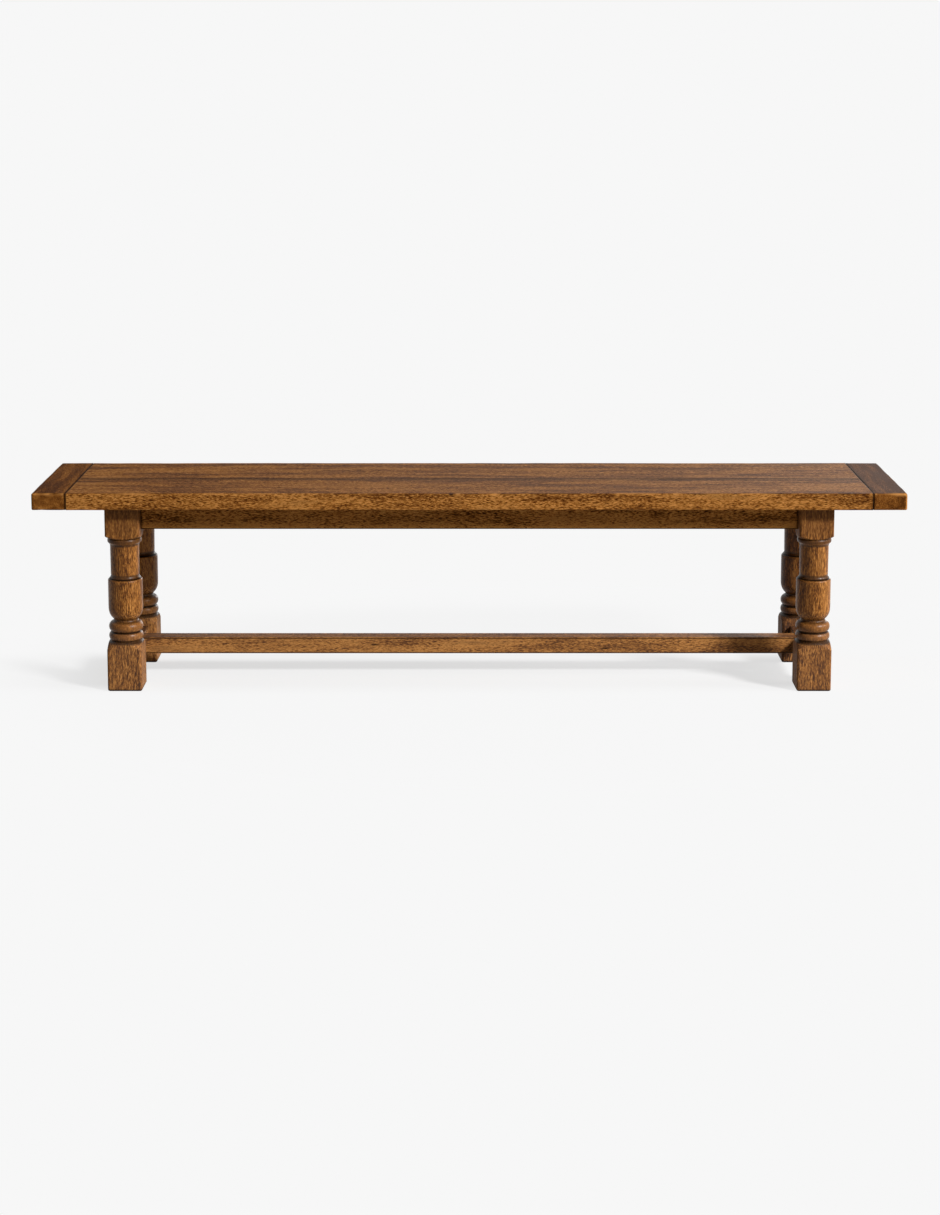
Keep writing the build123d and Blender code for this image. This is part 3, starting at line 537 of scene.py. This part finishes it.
# Wandering of the wear: scale along each axis, and the shift of its seed
ARRIS_WANDER = ((16.0, 16.0, 0.0), 0)
TOP_WANDER = ((9.0, 15.0, 0.0), 1)
SIDE_WANDER = ((11.0, 0.0, 30.0), 2)
PATCH_WANDER = ((18.0, 18.0, 5.0), 3)
JOINT_WANDER = ((5.0, 5.0, 0.0), 4)
UPPER_SHIFT = 0.5
SEED_STEP = 7.31
WANDER_GAIN = 0.8


def clamp(value, low=0.0, high=1.0):
    """The value, kept between low and high."""
    return min(max(value, low), high)


def wander(place, kind, seed):
    """Smooth noise from 0 to 1."""
    scale, shift = kind
    shifted = Vector([place[i] * scale[i] + (seed + shift) * SEED_STEP for i in range(3)])
    return clamp(0.5 + WANDER_GAIN * noise.noise(shifted))


def grid_lines(low, high, step):
    """Places of the grid lines along one side: close in the eased edges, about step apart between."""
    inner_low, inner_high = low + EDGE_LINES[-1], high - EDGE_LINES[-1]
    count = max(1, round((inner_high - inner_low) / step))
    inner = [inner_low + (inner_high - inner_low) * i / count for i in range(1, count)]
    return [low + line for line in EDGE_LINES] + inner + [high - line for line in reversed(EDGE_LINES)]


def box_skin(bm, lines):
    """Adds a box's skin to bm as quads on the given grid lines."""
    last = [len(side) - 1 for side in lines]
    corners = {}

    def corner(index):
        if index not in corners:
            corners[index] = bm.verts.new([lines[axis][index[axis]] for axis in range(3)])
        return corners[index]

    for axis in range(3):
        across, upward = (axis + 1) % 3, (axis + 2) % 3
        for end in (0, last[axis]):
            for i in range(last[across]):
                for j in range(last[upward]):
                    quad = []
                    for step_i, step_j in ((0, 0), (1, 0), (1, 1), (0, 1)):
                        index = [0, 0, 0]
                        index[axis] = end
                        index[across] = i + step_i
                        index[upward] = j + step_j
                        quad.append(corner(tuple(index)))
                    bm.faces.new(quad if end else quad[::-1])


def round_corner(place, low, high, corner):
    """Moves a point of a box's skin onto its round upright corners.

    Returns it with the way out of the board and its distance inside the board's sides.
    """
    core = Vector([clamp(place[i], low[i] + corner, high[i] - corner) for i in range(2)])
    out = place.xy - core
    reach = max(abs(out.x), abs(out.y))
    if reach == 0.0:
        inset = min(abs(place[i] - side[i]) for i in range(2) for side in (low, high))
        return place.copy(), Vector((0.0, 0.0)), inset
    flat = core + out.normalized() * reach
    return Vector((*flat, place.z)), out.normalized(), corner - reach


def round_arris(place, way, inset, low, high, radius):
    """Moves a point near the upper or lower arris onto its round."""
    up = place.z > (low.z + high.z) / 2
    drop = high.z - place.z if up else place.z - low.z
    if inset >= radius or drop >= radius:
        return place
    arc = Vector((radius - inset, radius - drop)).normalized() * radius
    flat = place.xy - way * (radius - arc.x - inset)
    z = high.z - (radius - arc.y) if up else low.z + (radius - arc.y)
    return Vector((*flat, z))


def ding(middle, size, depth, way_in, stain=0.0):
    """A dent: (middle, size, depth, way in, stain)."""
    return middle, size, depth, Vector(way_in).normalized(), stain


def make_dings(low, high, seed):
    """Small dents along the front arris."""
    chance = random.Random(seed)
    dings = []
    for _ in range(DING_COUNT):
        middle = Vector((chance.uniform(low.x, high.x), low.y, chance.choice((low.z, high.z, high.z))))
        way_in = (0.0, 1.0, -1.0 if middle.z == high.z else 1.0)
        dings.append(ding(middle, chance.uniform(*DING_SIZE), chance.uniform(*DING_DEPTH), way_in))
    return dings


def photo_dings(node_name, low, high):
    """The dents of a board that the photograph shows."""
    if node_name == "front_seat_plank":
        return [ding(Vector((DARK_DING_X, low.y, high.z)), way_in=(0.0, 1.0, -1.0), **DARK_DING)]
    if node_name == "right_breadboard_end":
        return [ding(Vector((high.x, low.y, high.z)), way_in=(-1.0, 1.0, -1.0), **CORNER_DING)]
    return []


def worn_point(start, low, high, joints, dings, grain, seed):
    """A point of a board's skin after wear: its place, its glaze and its rubbing."""
    middle = (low + high) / 2
    upper = start.z > middle.z
    uneven = 2.0 * wander(start, ARRIS_WANDER, seed + UPPER_SHIFT * upper) - 1.0
    radius = (ARRIS if upper else UNDER_ARRIS)[grain] * (1.0 + ARRIS_SPREAD[grain] * uneven)
    corner = CORNER
    in_joint = 0.0
    faded = wander(start, JOINT_WANDER, seed)
    for (axis, side), ease in joints.items():
        gap = abs(start[axis] - (high if side > 0 else low)[axis])
        radius += (ease - radius) * clamp(1.0 - gap / (JOINT_BLEND * ease))
        groove = GLAZE_GAIN * (1.0 - gap / GLAZE_REACH[axis])
        shade = SHADE * (1.0 - gap / SHADE_REACH[axis])
        in_joint = max(in_joint, clamp(max(groove, shade)) * (1.0 - JOINT_FADE[axis] * faded))
        if (start[axis] - middle[axis]) * side > 0.0:
            corner = JOINT_EASE
    place, way, inset = round_corner(start, low, high, corner)
    place = round_arris(place, way, inset, low, high, radius)
    rubbed = clamp((place - start).length / RUB_DEPTH)

    height = clamp((start.z - low.z) / (high.z - low.z))
    inward = 1 if start.y < middle.y else -1
    place.z -= SCRAPE * wander(start, TOP_WANDER, seed) * height
    place.y += SCRAPE * wander(start, SIDE_WANDER, seed) * inward * (1 - in_joint)
    dented = 0.0
    stained = 0.0
    for centre, size, depth, way_in, stain in dings:
        share = clamp(1.0 - (start - centre).length_squared / size ** 2)
        place += way_in * depth * share ** 2
        dented = max(dented, share * (1.0 - stain))
        stained = max(stained, share * stain)

    patch = wander(start, PATCH_WANDER, seed)
    steepness, threshold, limit = GLAZE_PATCH
    dirt = rubbed * clamp(steepness * (threshold - patch), high=limit)
    steepness, threshold, limit = WEAR_PATCH
    bare = rubbed * clamp(steepness * (patch - threshold), high=limit)
    glaze_and_shade = max(in_joint, stained, dirt * (1.0 - dented))
    wear = max(bare, DING_WEAR * dented) * (1.0 - in_joint)
    return place, glaze_and_shade, wear


def mesh_object(name, bm):
    """An object in the scene with bm as its mesh."""
    mesh = bpy.data.meshes.new(name)
    bm.normal_update()
    bm.to_mesh(mesh)
    bm.free()
    made = bpy.data.objects.new(name, mesh)
    bpy.context.scene.collection.objects.link(made)
    return made


def seat_board(name, low, high, joints, dings, grain, seed):
    """A worn seat board. joints maps (axis, side) to the ease of an edge that meets another board."""
    bm = bmesh.new()
    steps = BOARD_STEPS[grain]
    box_skin(bm, [grid_lines(low[axis], high[axis], steps[axis]) for axis in range(3)])
    glaze_and_shade = bm.verts.layers.float.new("glaze_and_shade")
    wear = bm.verts.layers.float.new("wear")
    for vert in bm.verts:
        worn = worn_point(vert.co.copy(), low, high, joints, dings, grain, seed)
        vert.co, vert[glaze_and_shade], vert[wear] = worn
    board = mesh_object(name, bm)
    for face in board.data.polygons:
        face.use_smooth = True
    board.modifiers.new("flat_faces", "WEIGHTED_NORMAL")
    return board


def make_seat():
    """The two planks and the breadboard ends, worn, in place of their plain solids."""
    gap = JOINT_GAP / 2
    ends = {(0, -1): JOINT_EASE, (0, 1): JOINT_EASE}
    boards = {
        "front_seat_plank": (
            Vector((gap - JOINT_X, SEAT_LOW.y, SEAT_LOW.z)),
            Vector((JOINT_X - gap, SEAM_Y, SEAT_HIGH.z)),
            {**ends, (1, 1): SEAM_EASE},
            "X",
        ),
        "rear_seat_plank": (
            Vector((gap - JOINT_X, SEAM_Y, SEAT_LOW.z)),
            Vector((JOINT_X - gap, SEAT_HIGH.y, SEAT_HIGH.z)),
            {**ends, (1, -1): SEAM_EASE},
            "X",
        ),
        "left_breadboard_end": (
            SEAT_LOW,
            Vector((-JOINT_X - gap, SEAT_HIGH.y, SEAT_HIGH.z)),
            {(0, 1): JOINT_EASE},
            "Y",
        ),
        "right_breadboard_end": (
            Vector((JOINT_X + gap, SEAT_LOW.y, SEAT_LOW.z)),
            SEAT_HIGH,
            {(0, -1): JOINT_EASE},
            "Y",
        ),
    }
    for seed, (node_name, (low, high, joints, grain)) in enumerate(boards.items()):
        dings = make_dings(low, high, seed) + photo_dings(node_name, low, high)
        board = seat_board("worn_" + node_name, low, high, joints, dings, grain, seed)
        finish = toned(node_name, BOARD_FINISH[grain])
        board.data.materials.append(wood(node_name + "_wood", grain, seed, finish, board_masks))
        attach(board, "root")
        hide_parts(node_name)


# Frame, inner wood and hardware

FRAME_GRAIN = {
    "front_left_leg": "Z",
    "front_right_leg": "Z",
    "rear_left_leg": "Z",
    "rear_right_leg": "Z",
    "front_apron": "X",
    "rear_apron": "X",
    "left_end_apron": "Y",
    "right_end_apron": "Y",
    "left_side_stretcher": "Y",
    "right_side_stretcher": "Y",
    "long_stretcher": "X",
}
INNER_WOOD = (
    "plank_spline",
    "breadboard_pegs",
    "centre_cross_rail",
    "front_left_corner_block",
    "front_right_corner_block",
    "rear_left_corner_block",
    "rear_right_corner_block",
)
FRAME_SEED = 20
INNER_SEED = 60


def dress(node_name, material):
    """Gives a node of the frame its material."""
    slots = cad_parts[node_name].data.materials
    slots.clear()
    slots.append(material)


def frame_finish(node_name):
    """The finish and the masks of a leg, an apron or a stretcher."""
    if node_name.endswith("leg"):
        return LEG_FINISH, frame_masks(LEG_CREASES, True, LEG_BANDS, SMOOTH_BANDS)
    if node_name.endswith("apron"):
        return APRON_FINISH, frame_masks(RAIL_CREASES, False, APRON_BANDS)
    knots = LONG_STRETCHER_KNOTS if node_name == "long_stretcher" else ()
    return RAIL_FINISH, frame_masks(RAIL_CREASES, False, STRETCHER_BANDS, knots=knots)


def dress_frame():
    """Wood for the frame and the hidden wooden pieces, and zinc for the hardware."""
    for seed, (node_name, grain) in enumerate(FRAME_GRAIN.items(), FRAME_SEED):
        finish, masks = frame_finish(node_name)
        dress(node_name, wood(node_name + "_wood", grain, seed, toned(node_name, finish), masks))
    inner = wood("inner_wood", "X", INNER_SEED, INNER_FINISH)
    steel = zinc("zinc_steel")
    for node_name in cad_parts:
        if node_name in INNER_WOOD:
            dress(node_name, inner)
        elif node_name not in FRAME_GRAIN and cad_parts[node_name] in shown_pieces():
            dress(node_name, steel)


# Surroundings

def background_rays(tree):
    """1 for rays that see the background: from the camera, and by reflection or through glass."""
    path = node(tree, "LightPath")
    seen = calc(tree, "ADD", path.outputs["Is Camera Ray"], path.outputs["Is Glossy Ray"])
    return calc(tree, "ADD", seen, path.outputs["Is Transmission Ray"], clamped=True)


def floor_shadow(tree):
    """The share of the floor's light that a shadow takes away: most under the bench, none far from it."""
    place = node(tree, "TexCoord").outputs["Object"]
    depth = calc(tree, "ABSOLUTE", coordinate(tree, place, "Y"))
    away = vector_calc(tree, "SUBTRACT", place, SHADOW_MIDDLE)
    away = length(tree, vector_calc(tree, "MULTIPLY", away, SHADOW_SQUASH))
    near = ramp(tree, depth, *SHADOW_DEPTH, FLOOR_SHADOW, FLOOR_SHADOW * FAR_SHADOW)
    return calc(tree, "MULTIPLY", near, ramp(tree, away, *SHADOW_REACH, 1.0, 0.0))


def floor_material():
    """A pale floor that shows a faint shadow near the bench and fades into the background."""
    material, tree = new_material("pale_floor")
    tree.nodes.remove(tree.nodes["Principled BSDF"])
    share = floor_shadow(tree)
    glow = calc(tree, "SUBTRACT", BACKGROUND[0], calc(tree, "MULTIPLY", share, FLOOR_LIT))
    glow = node(tree, "Emission", {"Strength": glow})
    grey = node(tree, "CombineColor", {0: share, 1: share, 2: share})
    shaded = node(tree, "BsdfDiffuse", {"Color": grey.outputs[0]})
    seen = node(tree, "AddShader", {0: glow.outputs[0], 1: shaded.outputs[0]})
    lit = node(tree, "BsdfDiffuse", {"Color": FLOOR_COLOUR})
    shader = node(tree, "MixShader", {0: background_rays(tree), 1: lit.outputs[0], 2: seen.outputs[0]})
    feed(tree, tree.nodes["Material Output"].inputs["Surface"], shader.outputs[0])
    return material


def make_floor():
    """A wide square floor under the bench."""
    bm = bmesh.new()
    for x, y in ((-1, -1), (1, -1), (1, 1), (-1, 1)):
        bm.verts.new((x * FLOOR_HALF, y * FLOOR_HALF, 0.0))
    bm.faces.new(bm.verts)
    floor = mesh_object("floor", bm)
    floor.data.materials.append(floor_material())


def make_world():
    """Soft warm light from all round, seen as the pale background."""
    world = bpy.data.worlds.new("studio")
    world.use_nodes = True
    bpy.context.scene.world = world
    tree = world.node_tree
    tree.nodes.remove(tree.nodes["Background"])
    sky = node(tree, "Background", {"Color": SKY_COLOUR, "Strength": SKY_STRENGTH})
    seen = node(tree, "Background", {"Color": BACKGROUND})
    shader = node(tree, "MixShader", {0: background_rays(tree), 1: sky.outputs[0], 2: seen.outputs[0]})
    feed(tree, tree.nodes["World Output"].inputs["Surface"], shader.outputs[0])


def make_light(name, direction, distance, size, level, colour=(1.0, 1.0, 1.0)):
    """A square lamp that faces the bench from the given direction."""
    data = bpy.data.lights.new(name, "AREA")
    data.size = size
    data.color = colour
    data.energy = level * (math.pi * distance) ** 2
    lamp = bpy.data.objects.new(name, data)
    way = Vector(direction).normalized()
    lamp.location = way * distance + LAMP_TARGET
    lamp.rotation_mode = "QUATERNION"
    lamp.rotation_quaternion = (-way).to_track_quat("-Z", "Y")
    bpy.context.scene.collection.objects.link(lamp)


def make_camera():
    """The camera of the photograph."""
    data = bpy.data.cameras.new("camera")
    data.lens = CAMERA_LENS
    data.sensor_width = CAMERA_SENSOR
    data.shift_y = CAMERA_SHIFT_Y
    camera = bpy.data.objects.new("camera", data)
    camera.location = CAMERA_PLACE
    camera.rotation_euler = (CAMERA_TILT, 0.0, 0.0)
    bpy.context.scene.collection.objects.link(camera)
    bpy.context.scene.camera = camera


make_camera()
make_seat()
dress_frame()
make_floor()
make_world()
for lamp_name, lamp_values in LAMPS.items():
    make_light(lamp_name, **lamp_values)
bpy.context.scene.view_settings.view_transform = "Standard"
